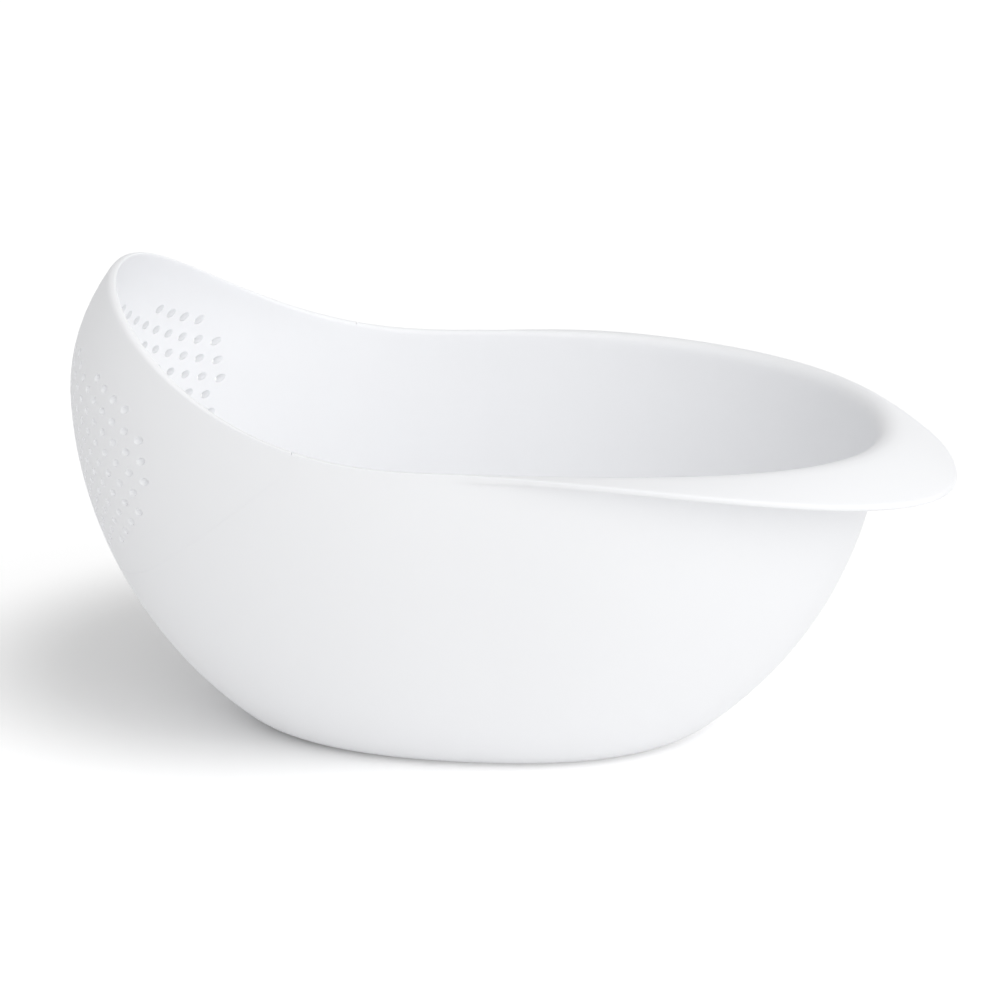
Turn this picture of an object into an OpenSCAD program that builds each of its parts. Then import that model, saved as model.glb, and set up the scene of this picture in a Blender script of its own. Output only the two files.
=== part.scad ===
// Sieve bowl: an egg-shaped bowl with a raised, pierced end and a drooping pouring lip.
// Millimetres, +Z up, the lip towards +X, origin on the floor below the middle of the whole length.

/* [Bowl] */
// Reach of the wall from the widest section to the pierced end
back_reach = 167; // [140:0.5:195]
// Reach of the wall from the widest section to the lip end
front_reach = 133.5; // [110:0.5:160]
// Width of the bowl over its sides
bowl_w = 202; // [160:1:240]
// Height at which the wall stands upright
belly_h = 127.5; // [118:0.5:140]
// Depth below the floor at which the wall's curve would close, which sets the size of the flat base
base_cut = 26.5; // [12:0.5:36]
// Shift of the base towards the pierced end
base_shift = 6.5; // [0:0.5:10]
// Height above the belly at which the curled-in end would close
curl_h = 106; // [90:1:130]
// Fullness of the wall's curve in height, where 2 is an ellipse
wall_full = 2; // [1.8:0.05:2.5]
// Fullness of the bowl's outline seen from above, where 2 is an ellipse
plan_full = 2.2; // [2:0.05:2.6]
// Thickness of the wall
wall_t = 2.8; // [2:0.1:4]
// Thickness of the floor
floor_t = 3.4; // [2.4:0.1:6]

/* [Rim] */
// Height of the rim along the sides
rim_h = 125; // [114:0.5:132]
// Height of the rim at the pierced end
end_h = 174; // [150:1:190]
// Fall of the rim from the sides to the lip end
lip_fall = 5.2; // [0:0.2:10]
// Distance behind the widest section at which the rim starts to rise
sweep_start = 29; // [10:1:45]
// Sharpness of the rim's rise, where 1 is a straight ramp
sweep_pow = 2.4; // [1.6:0.1:3]

/* [Pierced end] */
// Distance of the seam's upright part behind the widest section
seam_back = 72.5; // [60:0.5:85]
// Height at which the seam's upright part would meet its slope
seam_turn_h = 123.8; // [114:0.2:126]
// Slope of the seam, in degrees
seam_slope = 41; // [34:1:46]
// Height at which the seam runs level round the end
seam_low = 62.5; // [55:0.5:68]
// Diameter of a drain hole
hole_d = 2.8; // [1.6:0.1:3.4]
// Step between the columns of holes
column_step = 4.55; // [4.4:0.01:6]
// Step between the staggered rows of holes
row_step = 3.68; // [3.4:0.01:5]
// Upward tilt of the holes towards the inside, in degrees
hole_tilt = 18.2; // [12:0.1:22]
// Height of the hole pattern's lower edge above the seam's level part, at the wall
hole_gap_low = 3.3; // [2.5:0.1:12]
// Depth of the hole pattern's upper edge below the top of the pierced end
hole_gap_top = 24.2; // [22:0.1:45]
// Gap between the bowl's widest side and the hole pattern's side edge
hole_gap_side = 30; // [28:0.5:50]

/* [Lip] */
// Reach of the lip beyond the wall
lip_w = 27.5; // [14:0.5:40]
// Droop of the lip at its middle, in degrees
lip_droop = 33; // [10:1:42]
// Turn from the middle of the lip to each of its ends, in degrees
lip_span = 94; // [75:1:108]
// Thickness of the lip at its root
lip_root_t = 3.4; // [2.6:0.1:5]
// Thickness of the lip at its edge
lip_edge_t = 2.4; // [1.6:0.1:4]

/* [Hidden] */
white = [0.92, 0.925, 0.94];
x_mid = (back_reach - front_reach - lip_w) / 2;
wall_depth = belly_h + base_cut;
end_x = x_mid - back_reach;
low_run = back_reach * (1 - rho(seam_low, 0));
pattern_low = seam_low + hole_gap_low - low_run * tan(hole_tilt);
pattern_top = end_h - hole_gap_top;
pattern_mid = (pattern_low + pattern_top) / 2;
pattern_up = (pattern_top - pattern_low) / 2 * cos(hole_tilt);
pattern_across = bowl_w / 2 - hole_gap_side;
shift_pow = 3;
inner_round = wall_t / 2;
outer_round = wall_t / 7;
columns = 96;
wall_rows = 15;
wall_bias = 1.2;
round_steps = 3;
lip_taper = 1;
lip_curve = 1.36;
lip_end_w = lip_root_t / 4;
lip_rows = 6;
lip_nose = 4;
seam_round = seam_back / 5;
seam_sweep = seam_low * 0.85;
arc_steps = 8;
hole_sides = 24;
beyond = bowl_w * 0.3;

function spow(v, e) = sign(v) * pow(abs(v), e);
function clamp01(v) = max(0, min(1, v));

// Share of the full plan size at height z, for the outer wall or a wall drawn inside it
function rho(z, inset) = z < belly_h
    ? pow(1 - pow((belly_h - z) / (wall_depth - inset), wall_full), 1 / wall_full)
    : sqrt(1 - pow((z - belly_h) / (curl_h - inset), 2));

// Point of the wall in direction th
function wall_point(th, z, inset) = let (
    reach = cos(th) < 0 ? back_reach : front_reach,
    shift = base_shift * pow(max(0, 1 - z / belly_h), shift_pow),
    r = rho(z, inset)
) [
    x_mid - shift + (reach - inset) * r * spow(cos(th), 2 / plan_full),
    (bowl_w / 2 - inset) * r * spow(sin(th), 2 / plan_full),
    z
];

// Height of the rim line seen from the side
sweep_run = back_reach * rho(end_h, 0) - sweep_start;
function side_line(x) = let (run = clamp01((x_mid - sweep_start - x) / sweep_run),
                             fore = clamp01((x - x_mid) / front_reach))
    rim_h + (end_h - rim_h) * pow(run, sweep_pow) - lip_fall * pow(fore, 2);

// Height at which the wall in direction th meets that line, by halving
function rim_at(th, low = rim_h / 2, high = end_h + wall_t, left = 20) = let (mid = (low + high) / 2)
    left == 0 ? mid
    : side_line(wall_point(th, mid, 0)[0]) > mid ? rim_at(th, mid, high, left - 1)
    : rim_at(th, low, mid, left - 1);

// The lip takes its columns from the bowl's, so that the two share one face
angles = [for (i = [0:columns - 1]) 360 * i / columns];
rims = [for (th = angles) rim_at(th)];

// One ring of the shell: a share of the rim's height above a bottom level, less a drop, at an inset
function ring(bottom, share, drop, inset) = [for (i = [0:columns - 1])
    wall_point(angles[i], bottom + (rims[i] - drop - bottom) * share, inset)];

function shell_rings() = concat(
    [for (j = [0:wall_rows]) ring(0, pow(j / wall_rows, wall_bias), lip_root_t, 0)],
    [ring(0, 1, outer_round, 0), ring(0, 1, 0, outer_round)],
    [for (j = [0:round_steps]) let (a = 90 * j / round_steps)
        ring(0, 1, inner_round * (1 - cos(a)), wall_t - inner_round * (1 - sin(a)))],
    [for (j = [wall_rows - 1:-1:0]) ring(floor_t, pow(j / wall_rows, wall_bias), lip_root_t, wall_t)]
);

// Triangles between neighbouring rings of n points
function band_faces(rings, n) = [
    for (j = [0:rings - 2], i = [0:n - 1])
        let (a = j * n + i, b = j * n + (i + 1) % n, c = a + n, d = b + n)
            for (f = [[a, c, b], [b, c, d]]) f
];

module skin(rings) {
    n = len(rings[0]);
    last = (len(rings) - 1) * n;
    polyhedron(
        points = [for (r = rings, p = r) p],
        faces = concat(
            band_faces(len(rings), n),
            [[for (i = [0:n - 1]) i]],
            [[for (i = [n - 1:-1:0]) last + i]]
        )
    );
}

module shell() {
    skin(shell_rings());
}

// Arc of a rounded corner between two straight stretches at angles a0 and a1 to the level
function corner_arc(corner, r, a0, a1) = let (
    reach = r * tan(abs(a1 - a0) / 2),
    side = sign(a1 - a0),
    start = corner - reach * [cos(a0), sin(a0)],
    centre = start + side * r * [-sin(a0), cos(a0)]
) [for (i = [0:arc_steps]) let (a = a0 + (a1 - a0) * i / arc_steps)
    centre + side * r * [sin(a), -cos(a)]];

// Side view of the space that belongs to the pierced end
module seam_outline() {
    seam_x = x_mid - seam_back;
    turn = [seam_x, seam_turn_h];
    low_x = seam_x - (seam_turn_h - seam_low) / tan(seam_slope);
    far_x = end_x - beyond;
    top_h = end_h + beyond;
    polygon(concat(
        [[seam_x, top_h]],
        corner_arc(turn, seam_round, -90, -180 + seam_slope),
        corner_arc([low_x, seam_low], seam_sweep, -180 + seam_slope, -180),
        [[far_x, seam_low], [far_x, top_h]]
    ));
}

module seam_space() {
    rotate([90, 0, 0])
        linear_extrude(height = bowl_w + beyond, center = true)
            seam_outline();
}

// Whether a hole at y across and w up from the pattern's middle lies inside the pattern, an ellipse
function in_pattern(y, w) = pow(y / pattern_across, 2) + pow(w / pattern_up, 2) < 1;

// Staggered holes, all parallel, as the pins of a mould slide would leave them
module drain_holes() {
    most_columns = floor(pattern_across / column_step);
    most_rows = floor(pattern_up / row_step);
    depth = back_reach - seam_back;
    translate([end_x, 0, pattern_mid])
        rotate([0, 90 - hole_tilt, 0])
            for (k = [-most_columns:most_columns], j = [-most_rows:most_rows])
                if ((k + j) % 2 != 0 && in_pattern(k * column_step, j * row_step))
                    translate([-j * row_step, k * column_step, -depth / 4])
                        cylinder(d = hole_d, h = depth, $fn = hole_sides);
}

module bowl_body() {
    color(white)
        difference() {
            shell();
            seam_space();
        }
}

module strainer_panel() {
    color(white)
        difference() {
            intersection() {
                shell();
                seam_space();
            }
            drain_holes();
        }
}

// Outward direction of the rim in plan at column i
function rim_out(i) = let (
    a = wall_point(angles[(i + 1) % columns], rim_h, 0),
    b = wall_point(angles[(i + columns - 1) % columns], rim_h, 0),
    d = [a[1] - b[1], b[0] - a[0], 0]
) d / norm(d);

// Section of the lip at column i: root on the wall, underside, rounded nose and top
function lip_section(i) = let (
    th = angles[i] > 180 ? angles[i] - 360 : angles[i],
    share = pow(max(0, cos(90 * th / lip_span)), lip_taper),
    w = max(lip_end_w, lip_w * share),
    fall = w * tan(lip_droop * share),
    out = rim_out(i),
    root = wall_point(angles[i], rims[i] - lip_root_t, 0),
    top = wall_point(angles[i], rims[i] - outer_round, 0),
    nose_r = min(lip_edge_t, w) / 2,
    flat = w - nose_r
) concat(
    [root],
    [for (j = [1:lip_rows]) let (s = j / lip_rows)
        root + out * flat * s + [0, 0, -fall * pow(s, lip_curve) + (lip_root_t - lip_edge_t) * s]],
    [for (j = [1:lip_nose - 1]) let (a = 180 * j / lip_nose)
        root + out * (flat + nose_r * sin(a))
            + [0, 0, -fall + lip_root_t - lip_edge_t / 2 - lip_edge_t / 2 * cos(a)]],
    [for (j = [lip_rows:-1:1]) let (s = j / lip_rows)
        root + out * flat * s + [0, 0, -fall * pow(s, lip_curve) + lip_root_t]],
    [top]
);

module pouring_lip() {
    half = floor(lip_span * columns / 360);
    color(white)
        skin([for (i = [-half:half]) lip_section((i + columns) % columns)]);
}

bowl_body();
strainer_panel();
pouring_lip();
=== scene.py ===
import math
import bpy
import numpy as np
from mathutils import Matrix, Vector
from mathutils.bvhtree import BVHTree


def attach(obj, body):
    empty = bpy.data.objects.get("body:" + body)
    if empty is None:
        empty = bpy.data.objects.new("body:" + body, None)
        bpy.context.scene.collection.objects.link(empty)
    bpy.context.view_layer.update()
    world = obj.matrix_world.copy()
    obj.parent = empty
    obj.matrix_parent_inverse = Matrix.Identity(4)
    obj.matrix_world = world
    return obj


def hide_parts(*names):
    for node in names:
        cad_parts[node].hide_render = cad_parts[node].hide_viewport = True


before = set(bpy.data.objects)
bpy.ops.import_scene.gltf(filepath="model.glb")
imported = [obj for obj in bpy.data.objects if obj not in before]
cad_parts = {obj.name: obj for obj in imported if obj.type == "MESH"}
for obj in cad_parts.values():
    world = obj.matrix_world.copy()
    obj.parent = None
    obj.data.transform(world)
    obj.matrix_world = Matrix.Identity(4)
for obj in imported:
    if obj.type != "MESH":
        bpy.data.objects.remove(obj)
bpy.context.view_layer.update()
mm = 0.001
print("frame loaded:", ", ".join(sorted(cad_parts)))


# sizes in millimetres, those of the solids or a hair less so that the looks stay inside their box
bowl = {
    "middle": 3.0, "backReach": 166.95, "frontReach": 133.5, "halfWidth": 100.95,
    "belly": 127.5, "baseCut": 26.5, "baseShift": 6.5, "shiftPower": 3.0, "curl": 106.0,
    "wallFull": 2.0, "planFull": 2.2, "wall": 2.8, "floor": 3.4,
    "rimHeight": 125.0, "endHeight": 174.0, "lipFall": 5.2,
    "sweepStart": 29.0, "sweepPower": 2.4,
    "sideEdge": (0.4, 2.3), "endEdge": (1.3, 1.45), "edgeChange": (132.0, 160.0),
    "baseRound": 9.0, "floorRound": 11.0,
    "columns": 288, "wallRows": 34, "rowBias": 1.15,
    "baseShares": (0.3, 0.6, 0.85), "capShares": (0.6, 0.2),
    "cornerSteps": 6, "cornerRise": 0.6, "halvings": 40, "turnStep": 1e-3,
}
lip = {
    "reach": 27.25, "droop": 33.0, "span": 94.0, "taper": 1.0, "curve": 1.36,
    "rootThick": 3.4, "edgeThick": 2.4,
    "fillet": 3.0, "crest": 8.0, "cornerMost": 0.35, "crestGap": 0.05,
    "underSteps": 5, "topSteps": 7,
}
xMid = bowl["middle"]


def signedPower(v, power):
    return np.sign(v) * np.abs(v) ** power


def wallShare(z, inset):
    # share of the full plan size at height z
    full = bowl["wallFull"]
    below = np.clip(bowl["belly"] - z, 0, None) / (bowl["belly"] + bowl["baseCut"] - inset)
    above = np.clip(z - bowl["belly"], 0, None) / (bowl["curl"] - inset)
    return np.where(z < bowl["belly"], (1 - below ** full) ** (1 / full), np.sqrt(1 - above ** 2))


def baseMove(z):
    # the low part of the wall sits towards the pierced end
    return bowl["baseShift"] * np.clip(1 - z / bowl["belly"], 0, None) ** bowl["shiftPower"]


def wallPoint(turn, z, inset=0.0):
    z = np.broadcast_to(np.asarray(z, float), turn.shape)
    share = wallShare(z, inset)
    reach = np.where(np.cos(turn) < 0, bowl["backReach"], bowl["frontReach"])
    power = 2 / bowl["planFull"]
    x = xMid - baseMove(z) + (reach - inset) * share * signedPower(np.cos(turn), power)
    y = (bowl["halfWidth"] - inset) * share * signedPower(np.sin(turn), power)
    return np.stack([x, y, z], -1)


def sideLine(x):
    # rim line seen from the side: level, falling a little to the lip, sweeping up at the pierced end
    endX = bowl["backReach"] * float(wallShare(np.array(bowl["endHeight"]), 0.0))
    run = np.clip((xMid - bowl["sweepStart"] - x) / (endX - bowl["sweepStart"]), 0, 1)
    fore = np.clip((x - xMid) / bowl["frontReach"], 0, 1)
    rise = bowl["endHeight"] - bowl["rimHeight"]
    return bowl["rimHeight"] + rise * run ** bowl["sweepPower"] - bowl["lipFall"] * fore ** 2


def rimHeight(turn):
    low = np.full(turn.shape, bowl["rimHeight"] / 2)
    high = np.full(turn.shape, bowl["endHeight"] + bowl["wall"])
    for step in range(bowl["halvings"]):
        middle = (low + high) / 2
        under = sideLine(wallPoint(turn, middle)[..., 0]) > middle
        low, high = np.where(under, middle, low), np.where(under, high, middle)
    return (low + high) / 2


def bend(a, b, c, steps):
    # rounded corner from a to c with its tip at b
    return [(1 - t) ** 2 * a + 2 * t * (1 - t) * b + t * t * c for t in np.linspace(0, 1, steps)]


def shellRings():
    turn = np.linspace(0, 2 * math.pi, bowl["columns"], endpoint=False)
    rim = rimHeight(turn)
    along = wallPoint(turn + bowl["turnStep"], rim) - wallPoint(turn - bowl["turnStep"], rim)
    out = np.stack([along[:, 1], -along[:, 0], np.zeros_like(turn)], -1)
    out /= np.linalg.norm(out, axis=1)[:, None]
    up = np.array([0.0, 0.0, 1.0])

    fromMiddle = (turn + math.pi) % (2 * math.pi) - math.pi
    arc = np.clip(fromMiddle / math.radians(lip["span"]), -1, 1) * math.pi / 2
    share = np.clip(np.cos(arc), 0, 1) ** lip["taper"]  # 1 at the lip's middle, 0 beyond its ends
    width = lip["reach"] * share
    fall = width * np.tan(math.radians(lip["droop"]) * share)
    thick, root, edge = bowl["wall"], lip["rootThick"], lip["edgeThick"]

    def under(q):  # underside of the lip, q from the wall to the nose
        lift = wallPoint(turn, rim - root + (root - edge) * q)
        return lift + out * (width * q)[:, None] - up * (fall * q ** lip["curve"])[:, None]

    def top(d):  # top of rim and lip, d outwards from the outer wall, inwards where it is negative
        flat = wallPoint(turn, rim, np.clip(-d, 0, None)) + out * np.clip(d, 0, None)[:, None]
        part = np.clip(d, 0, None) / np.maximum(width, 1e-6)
        return flat - up * (fall * part ** lip["curve"])[:, None]

    steps = bowl["cornerSteps"]
    centre = np.array([xMid - bowl["baseShift"], 0.0, 0.0])
    rings = []

    baseEdge = wallPoint(turn, 0.0)
    radius = np.linalg.norm(baseEdge - centre, axis=1)[:, None]
    flatEnd = centre + (baseEdge - centre) * (1 - bowl["baseRound"] / radius)
    rings += [centre + (flatEnd - centre) * s for s in bowl["baseShares"]]
    wallStart = bowl["baseRound"] * bowl["cornerRise"]
    rings += bend(flatEnd, baseEdge, wallPoint(turn, wallStart), steps)

    rootLow = rim - root - lip["fillet"]
    for j in range(1, bowl["wallRows"]):
        part = (j / bowl["wallRows"]) ** bowl["rowBias"]
        rings.append(wallPoint(turn, wallStart + (rootLow - wallStart) * part))

    filletEnd = np.clip(lip["fillet"] / np.maximum(width, 1e-6), 0, lip["cornerMost"])
    noseStart = 1 - np.clip(edge / 2 / np.maximum(width, 1e-6), 0, lip["cornerMost"])
    rings += bend(wallPoint(turn, rootLow), wallPoint(turn, rim - root), under(filletEnd), steps)
    for j in range(1, lip["underSteps"]):
        rings.append(under(filletEnd + (noseStart - filletEnd) * j / lip["underSteps"]))

    lowTip = under(np.ones_like(turn))
    highTip = top(width)
    lowEnd, highEnd = bowl["edgeChange"]
    blend = np.clip((rim - lowEnd) / (highEnd - lowEnd), 0, 1)
    blend = blend * blend * (3 - 2 * blend)  # 0 along the sides, 1 at the raised end
    rimOuter, rimInner = [s + (e - s) * blend for s, e in zip(bowl["sideEdge"], bowl["endEdge"])]
    noseRound = rimOuter + (edge / 2 - rimOuter) * share
    noseMid = highTip + (lowTip - highTip) * (noseRound / edge)[:, None]
    topEnd = width - noseRound
    rings += bend(under(noseStart), lowTip, noseMid, steps)
    rings += bend(noseMid, highTip, top(topEnd), steps)[1:]

    crest = rimInner + (lip["crest"] - rimInner) * share
    crestStart = np.minimum(crest - thick, topEnd - lip["crestGap"])
    for j in range(1, lip["topSteps"]):
        rings.append(top(topEnd + (crestStart - topEnd) * j / lip["topSteps"]))
    inside = wallPoint(turn, rim, thick)
    rings += bend(top(crestStart), inside, wallPoint(turn, rim - crest, thick), steps + 2)

    floorEdge = wallPoint(turn, bowl["floor"], thick)
    floorMid = centre + up * bowl["floor"]
    floorRadius = np.linalg.norm(floorEdge - floorMid, axis=1)[:, None]
    floorFlat = floorMid + (floorEdge - floorMid) * (1 - bowl["floorRound"] / floorRadius)
    innerEnd = bowl["floor"] + bowl["floorRound"] * bowl["cornerRise"]
    for j in range(1, bowl["wallRows"]):
        z = innerEnd + (rim - crest - innerEnd) * (1 - j / bowl["wallRows"]) ** bowl["rowBias"]
        rings.append(wallPoint(turn, z, wallInset(turn, z)))
    rings += bend(wallPoint(turn, innerEnd, thick), floorEdge, floorFlat, steps)
    rings += [floorMid + (floorFlat - floorMid) * s for s in reversed(bowl["baseShares"])]
    return rings, centre, floorMid


def plainMesh(name, points, faces):
    # mesh in metres from points in millimetres
    mesh = bpy.data.meshes.new(name)
    mesh.from_pydata((np.array(points) * mm).tolist(), [], faces)
    mesh.update()
    return mesh


def skinMesh(name, rings, lowPole, highPole):
    n = len(rings[0])
    points = np.concatenate(rings + [lowPole[None], highPole[None]])
    faces = []
    for j in range(len(rings) - 1):
        for i in range(n):
            k = (i + 1) % n
            faces.append((j * n + i, j * n + k, (j + 1) * n + k, (j + 1) * n + i))
    first, last, low, high = 0, (len(rings) - 1) * n, len(points) - 2, len(points) - 1
    for i in range(n):
        k = (i + 1) % n
        faces.append((low, first + k, first + i))
        faces.append((high, last + i, last + k))
    return plainMesh(name, points, faces)


def coreMesh(name, inset):
    # solid that fills the bowl to a little inside its outer face and rim
    turn = np.linspace(0, 2 * math.pi, bowl["columns"], endpoint=False)
    top = rimHeight(turn) - inset
    parts = np.linspace(0, 1, bowl["wallRows"] + 1) ** bowl["rowBias"]
    rings = [wallPoint(turn, inset + (top - inset) * part, inset) for part in parts]
    middle = rings[-1].mean(0)
    rings += [middle + (rings[-1] - middle) * share for share in bowl["capShares"]]
    return skinMesh(name, rings, np.array([xMid - bowl["baseShift"], 0.0, inset]), middle)


def addObject(name, mesh):
    piece = bpy.data.objects.new(name, mesh)
    bpy.context.scene.collection.objects.link(piece)
    return piece


def cut(piece, tool, operation):
    # applies one boolean and leaves a plain mesh
    change = piece.modifiers.new("cut", "BOOLEAN")
    change.object = tool
    change.operation = operation
    change.solver = "MANIFOLD"
    bpy.context.view_layer.update()
    done = bpy.data.meshes.new_from_object(piece.evaluated_get(bpy.context.evaluated_depsgraph_get()))
    piece.modifiers.clear()
    done.name = piece.data.name
    piece.data = done


seam = {
    "back": 72.5, "turnHeight": 123.8, "slope": 41.0, "low": 62.5,
    "turnRound": 14.5, "sweepRound": 53.1, "steps": 12, "beyond": 60.0,
    "grooveWidth": 0.14, "grooveDepth": 0.11, "notchHalf": 0.7, "notchDepth": 0.8, "notchTop": 1.0,
}


def cornerArc(corner, radius, a0, a1):
    # rounded corner between two straight stretches at angles a0 and a1
    side = math.copysign(1, a1 - a0)
    reach = radius * math.tan(abs(a1 - a0) / 2)
    start = np.array(corner) - reach * np.array([math.cos(a0), math.sin(a0)])
    middle = start + side * radius * np.array([-math.sin(a0), math.cos(a0)])
    angles = np.linspace(a0, a1, seam["steps"])
    return [middle + side * radius * np.array([math.sin(a), -math.cos(a)]) for a in angles]


def seamLine(grow):
    # the seam from its top down and round to the end, moved outwards by grow
    slope = math.radians(seam["slope"])
    seamX = xMid - seam["back"] + grow
    low = seam["low"] - grow
    turnHeight = seam["turnHeight"] - grow * math.tan(math.pi / 4 - slope / 2)
    lowX = seamX - (turnHeight - low) / math.tan(slope)
    return (
        [np.array([seamX, bowl["endHeight"] + seam["beyond"]])]
        + cornerArc((seamX, turnHeight), seam["turnRound"] + grow, -math.pi / 2, slope - math.pi)
        + cornerArc((lowX, low), seam["sweepRound"] + grow, slope - math.pi, -math.pi)
        + [np.array([xMid - bowl["backReach"] - seam["beyond"], low])]
    )


def sidePrism(name, outline):
    # closed prism right across the bowl from an outline in its side view, given clockwise
    half = bowl["halfWidth"] + seam["beyond"]
    n = len(outline)
    points = [(x, side * half, z) for side in (-1, 1) for x, z in outline]
    faces = [tuple(range(n - 1, -1, -1)), tuple(range(n, 2 * n))]
    faces += [(i, (i + 1) % n, (i + 1) % n + n, i + n) for i in range(n)]
    return addObject(name, plainMesh(name, points, faces))


holes = {
    "diameter": 2.8, "columnStep": 4.55, "rowStep": 3.68, "tilt": 18.2,
    "gapLow": 3.3, "gapTop": 24.2, "gapSide": 30.0, "sides": 24, "outside": 23.6, "inside": 70.9,
    "thinWall": 2.2, "thinFrom": 1.35, "thinSoft": 0.3,
}


def holeField():
    # middle, directions and half sizes of the oval that the holes fill
    tilt = math.radians(holes["tilt"])
    lowRun = bowl["backReach"] * (1 - float(wallShare(np.array(seam["low"]), 0.0)))
    low = seam["low"] + holes["gapLow"] - lowRun * math.tan(tilt)
    high = bowl["endHeight"] - holes["gapTop"]
    middle = Vector((xMid - bowl["backReach"], 0, (low + high) / 2))
    along = Vector((math.cos(tilt), 0, math.sin(tilt)))
    rise = Vector((-math.sin(tilt), 0, math.cos(tilt)))
    return middle, along, rise, bowl["halfWidth"] - holes["gapSide"], (high - low) / 2 * math.cos(tilt)


def wallInset(turn, z):
    # the wall is thinner behind the holes
    middle, along, rise, across, upward = holeField()
    spot = wallPoint(turn, z)
    w = (spot[:, 0] - middle.x) * rise.x + (spot[:, 2] - middle.z) * rise.z
    oval = np.sqrt((spot[:, 1] / across) ** 2 + (w / upward) ** 2)
    thin = np.clip((holes["thinFrom"] - oval) / holes["thinSoft"], 0, 1) * (np.cos(turn) < 0)
    return bowl["wall"] - (bowl["wall"] - holes["thinWall"]) * thin * thin * (3 - 2 * thin)


def pinMesh(name):
    # all the pins that leave the drain holes, parallel and staggered
    radius = holes["diameter"] / 2
    middle, along, rise, across, upward = holeField()
    side = Vector((0, 1, 0))
    points, faces = [], []
    columns, rows = int(across / holes["columnStep"]), int(upward / holes["rowStep"])
    for k in range(-columns, columns + 1):
        for j in range(-rows, rows + 1):
            y, w = k * holes["columnStep"], j * holes["rowStep"]
            if (k + j) % 2 == 0 or (y / across) ** 2 + (w / upward) ** 2 >= 1:
                continue
            spot = middle + side * y + rise * w
            ring = []
            for i in range(holes["sides"]):
                a = 2 * math.pi * i / holes["sides"]
                ring.append((rise * math.sin(a) + side * math.cos(a)) * radius)
            base, n = len(points), holes["sides"]
            points += [spot - along * holes["outside"] + p for p in ring]
            points += [spot + along * holes["inside"] + p for p in ring]
            faces.append(tuple(base + i for i in range(n - 1, -1, -1)))
            faces.append(tuple(base + n + i for i in range(n)))
            for i in range(n):
                following = (i + 1) % n
                faces.append((base + i, base + following, base + n + following, base + n + i))
    return plainMesh(name, points, faces)


def dropObject(piece):
    mesh = piece.data
    bpy.data.objects.remove(piece)
    bpy.data.meshes.remove(mesh)


smoothing = {"sharpAngle": 32.0, "sameFacing": 0.9}


def smoothFrom(piece, shell):
    # the cut pieces keep the whole shell's smooth normals, so no facet shows at the seam or the holes
    mesh = piece.data
    mesh.shade_smooth()
    mesh.set_sharp_from_angle(angle=math.radians(smoothing["sharpAngle"]))
    spots = [v.co for v in shell.vertices]
    tree = BVHTree.FromPolygons(spots, [tuple(p.vertices) for p in shell.polygons])
    shell.shade_smooth()
    corners = [tuple(n.vector) for n in mesh.corner_normals]
    for face in mesh.polygons:
        for loop in face.loop_indices:
            spot = mesh.vertices[mesh.loops[loop].vertex_index].co
            near, _, index, _ = tree.find_nearest(spot)
            ring = [shell.vertices[i] for i in shell.polygons[index].vertices]
            weights = [1 / ((v.co - near).length + 1e-7) ** 2 for v in ring]
            normal = sum((v.normal * w for v, w in zip(ring, weights)), Vector()).normalized()
            if normal.dot(face.normal) > smoothing["sameFacing"]:
                corners[loop] = tuple(normal)
    mesh.normals_split_custom_set(corners)


beyondEnd = xMid - bowl["backReach"] - seam["beyond"]
topCorner = [np.array([beyondEnd, bowl["endHeight"] + seam["beyond"]])]
halfGroove = seam["grooveWidth"] / 2
seamTool = sidePrism("seamTool", seamLine(0.0) + topCorner)
grooveTool = sidePrism("grooveTool", seamLine(halfGroove) + seamLine(-halfGroove)[::-1])
coreTool = addObject("coreTool", coreMesh("coreTool", seam["grooveDepth"]))
cut(grooveTool, coreTool, "DIFFERENCE")
pinTool = addObject("pinTool", pinMesh("pinTool"))
seamX = xMid - seam["back"]
rimZ = float(sideLine(np.array(seamX)))
notch = [(-seam["notchHalf"], seam["notchTop"]), (seam["notchHalf"], seam["notchTop"]),
         (0.0, -seam["notchDepth"])]
notchTool = sidePrism("notchTool", [np.array([seamX + x, rimZ + z]) for x, z in notch])

wholeShell = skinMesh("whole_shell", *shellRings())
bowlPiece = addObject("bowl", wholeShell.copy())
strainerPiece = addObject("strainer_end", wholeShell.copy())
cut(bowlPiece, seamTool, "DIFFERENCE")
cut(strainerPiece, seamTool, "INTERSECT")
cut(strainerPiece, pinTool, "DIFFERENCE")
for piece in (bowlPiece, strainerPiece):
    cut(piece, grooveTool, "DIFFERENCE")
    cut(piece, notchTool, "DIFFERENCE")  # where the seam crosses the rim
    smoothFrom(piece, wholeShell)
    print(piece.name, "has", len(piece.data.polygons), "faces")
for tool in (seamTool, grooveTool, coreTool, pinTool, notchTool):
    dropObject(tool)
bpy.data.meshes.remove(wholeShell)


class Wire:
    # a socket with arithmetic, and one way to make any node
    def __init__(self, tree, socket):
        self.tree, self.socket = tree, socket

    def make(self, kind, settings=None, inputs=None, output=0):
        node = self.tree.nodes.new(kind)
        for key, value in (settings or {}).items():
            setattr(node, key, value)
        for key, value in (inputs or {}).items():
            if isinstance(value, Wire):
                self.tree.links.new(value.socket, node.inputs[key])
            else:
                node.inputs[key].default_value = value
        return Wire(self.tree, node.outputs[output])

    def maths(self, operation, a, b=0.0, c=0.0):
        return self.make("ShaderNodeMath", {"operation": operation}, {0: a, 1: b, 2: c})

    def __add__(self, other):
        return self.maths("ADD", self, other)

    def __radd__(self, other):
        return self.maths("ADD", other, self)

    def __mul__(self, other):
        return self.maths("MULTIPLY", self, other)

    def __rmul__(self, other):
        return self.maths("MULTIPLY", other, self)


def newMaterial(name):
    material = bpy.data.materials.new(name)
    material.use_nodes = True
    tree = material.node_tree
    tree.nodes.clear()
    end = tree.nodes.new("ShaderNodeOutputMaterial")
    return material, Wire(tree, None), end


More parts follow.
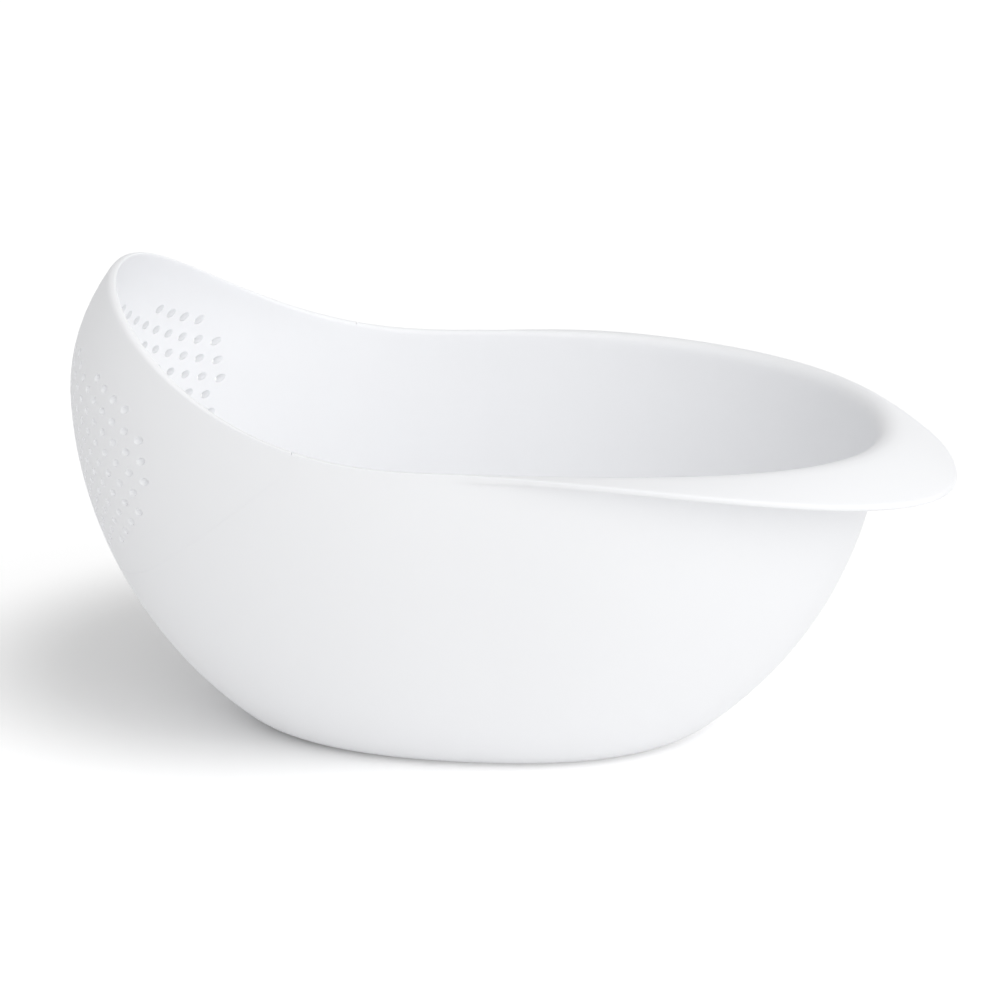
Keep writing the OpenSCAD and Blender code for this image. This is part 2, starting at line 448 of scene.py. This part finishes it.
def seenRays(make):
    # 1 for the rays that show the white studio, 0 for those that light the bowl
    seen = make.make("ShaderNodeLightPath", output="Is Camera Ray")
    for ray in ("Is Glossy Ray", "Is Transmission Ray"):
        seen = make.maths("MAXIMUM", seen, make.make("ShaderNodeLightPath", output=ray))
    return seen


plastic = {
    "colour": (0.950, 0.955, 0.970, 1.0), "shade": (0.936, 0.942, 0.958, 1.0),
    "roughness": 0.56, "roughVary": 0.08, "gloss": 0.18,
    "ior": 1.49, "cloudScale": 9.0,
    "grainScale": 2600.0, "grainDepth": 0.012, "rippleScale": 70.0, "rippleDepth": 0.02,
}


def whitePlastic():
    material, make, end = newMaterial("white_matte_plastic")
    place = make.make("ShaderNodeTexCoord", output=3)
    grain = make.make("ShaderNodeTexNoise", None,
                      {"Vector": place, "Scale": plastic["grainScale"], "Detail": 2.0, "Roughness": 0.6})
    ripple = make.make("ShaderNodeTexNoise", None,
                       {"Vector": place, "Scale": plastic["rippleScale"], "Detail": 1.0})
    cloud = make.make("ShaderNodeTexNoise", None,
                      {"Vector": place, "Scale": plastic["cloudScale"], "Detail": 3.0})
    colour = make.make("ShaderNodeMix", {"data_type": "RGBA"},
                       {0: cloud, 6: plastic["colour"], 7: plastic["shade"]}, output=2)
    rough = plastic["roughness"] - plastic["roughVary"] / 2 + cloud * plastic["roughVary"]
    height = grain * plastic["grainDepth"] + ripple * plastic["rippleDepth"]
    normal = make.make("ShaderNodeBump", None, {"Strength": 1.0, "Distance": mm, "Height": height})
    surface = make.make("ShaderNodeBsdfPrincipled", None,
                        {"Base Color": colour, "Roughness": rough, "Normal": normal,
                         "IOR": plastic["ior"], "Specular IOR Level": plastic["gloss"]})
    make.tree.links.new(surface.socket, end.inputs["Surface"])
    return material


finish = whitePlastic()
for piece in (bowlPiece, strainerPiece):
    piece.data.materials.clear()
    piece.data.materials.append(finish)
    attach(piece, "root")
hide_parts("bowl_body", "pouring_lip")
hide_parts("strainer_panel")
print("finish on both pieces")


studio = {
    "world": 0.48, "floorColour": (0.96, 0.96, 0.96, 1.0), "floorSize": 14.0,
    # painted shadow: the floor's glow is left out in a round pool by the bowl's left side, which darkens
    # the floor there on top of the lamps' real shadow
    "paintedShadowMiddle": (-0.10, 0.05, 0.0), "paintedShadowReach": (0.075, 0.155),
    "glowInPaintedShadow": (0.0, 0.0, 0.0, 1.0), "glowBeyondPaintedShadow": (0.3, 0.3, 0.3, 1.0),
    "lamps": {
        "key": {"strength": 1.35, "spread": 90.0, "turn": -25.0, "height": 12.0},
        "fill": {"strength": 0.88, "spread": 90.0, "turn": -75.0, "height": 45.0},
    },
}


def makeFloor():
    s = studio["floorSize"] / 2
    mesh = bpy.data.meshes.new("floor")
    mesh.from_pydata([(-s, -s, 0), (s, -s, 0), (s, s, 0), (-s, s, 0)], [], [(0, 1, 2, 3)])
    floor = addObject("floor", mesh)
    material, make, end = newMaterial("floor_white_with_painted_shadow")
    matte = make.make("ShaderNodeBsdfDiffuse", None, {"Color": studio["floorColour"]})
    # glow seen by camera, glossy and transmission rays, none near the pool's middle and rising outwards,
    # so the dark pool round the bowl is partly the lamps' real shadow and partly painted shadow
    spot = make.make("ShaderNodeNewGeometry", output="Position")
    fromPaintedShadow = make.make("ShaderNodeVectorMath", {"operation": "DISTANCE"},
                     {0: spot, 1: studio["paintedShadowMiddle"]}, "Value")
    near, far = studio["paintedShadowReach"]
    share = make.make("ShaderNodeMapRange", {"interpolation_type": "SMOOTHSTEP"},
                      {"Value": fromPaintedShadow, "From Min": near, "From Max": far})
    colour = make.make("ShaderNodeMix", {"data_type": "RGBA"},
                       {0: share, 6: studio["glowInPaintedShadow"], 7: studio["glowBeyondPaintedShadow"]}, output=2)
    glowShapingPaintedShadow = make.make("ShaderNodeEmission", None, {"Color": colour, "Strength": seenRays(make)})
    both = make.make("ShaderNodeAddShader", None, {0: matte, 1: glowShapingPaintedShadow})
    make.tree.links.new(both.socket, end.inputs["Surface"])
    mesh.materials.append(material)


def makeWorld():
    world = bpy.data.worlds.new("studio")
    bpy.context.scene.world = world
    world.use_nodes = True
    tree = world.node_tree
    tree.nodes.clear()
    make = Wire(tree, None)
    dim = make.make("ShaderNodeBackground", None, {"Color": (1, 1, 1, 1), "Strength": studio["world"]})
    white = make.make("ShaderNodeBackground", None, {"Color": (1, 1, 1, 1), "Strength": 1.0})
    both = make.make("ShaderNodeMixShader", None, {0: seenRays(make), 1: dim, 2: white})
    end = tree.nodes.new("ShaderNodeOutputWorld")
    tree.links.new(both.socket, end.inputs["Surface"])


def makeLamps():
    for name, settings in studio["lamps"].items():
        lamp = bpy.data.lights.new(name, "SUN")
        lamp.energy = settings["strength"]
        lamp.angle = math.radians(settings["spread"])
        piece = bpy.data.objects.new(name, lamp)
        turn, height = math.radians(settings["turn"]), math.radians(settings["height"])
        level = math.cos(height)
        way = Vector((level * math.cos(turn), level * math.sin(turn), math.sin(height)))
        piece.rotation_euler = way.to_track_quat("Z", "Y").to_euler()
        bpy.context.scene.collection.objects.link(piece)


view = {"place": (60.0, -946.5, 387.0), "turn": 3.936, "down": 17.692, "lens": 95.52, "sensor": 36.0}


def makeCamera():
    data = bpy.data.cameras.new("camera")
    data.sensor_width = view["sensor"]
    data.lens = view["lens"]
    camera = bpy.data.objects.new("camera", data)
    camera.location = Vector(view["place"]) * mm
    camera.rotation_euler = (math.radians(90 - view["down"]), 0, math.radians(view["turn"]))
    bpy.context.scene.collection.objects.link(camera)
    bpy.context.scene.camera = camera


makeFloor()
makeWorld()
makeLamps()
makeCamera()
bpy.context.scene.view_settings.view_transform = "Standard"
print("floor, light and camera in place")

bpy.context.view_layer.update()
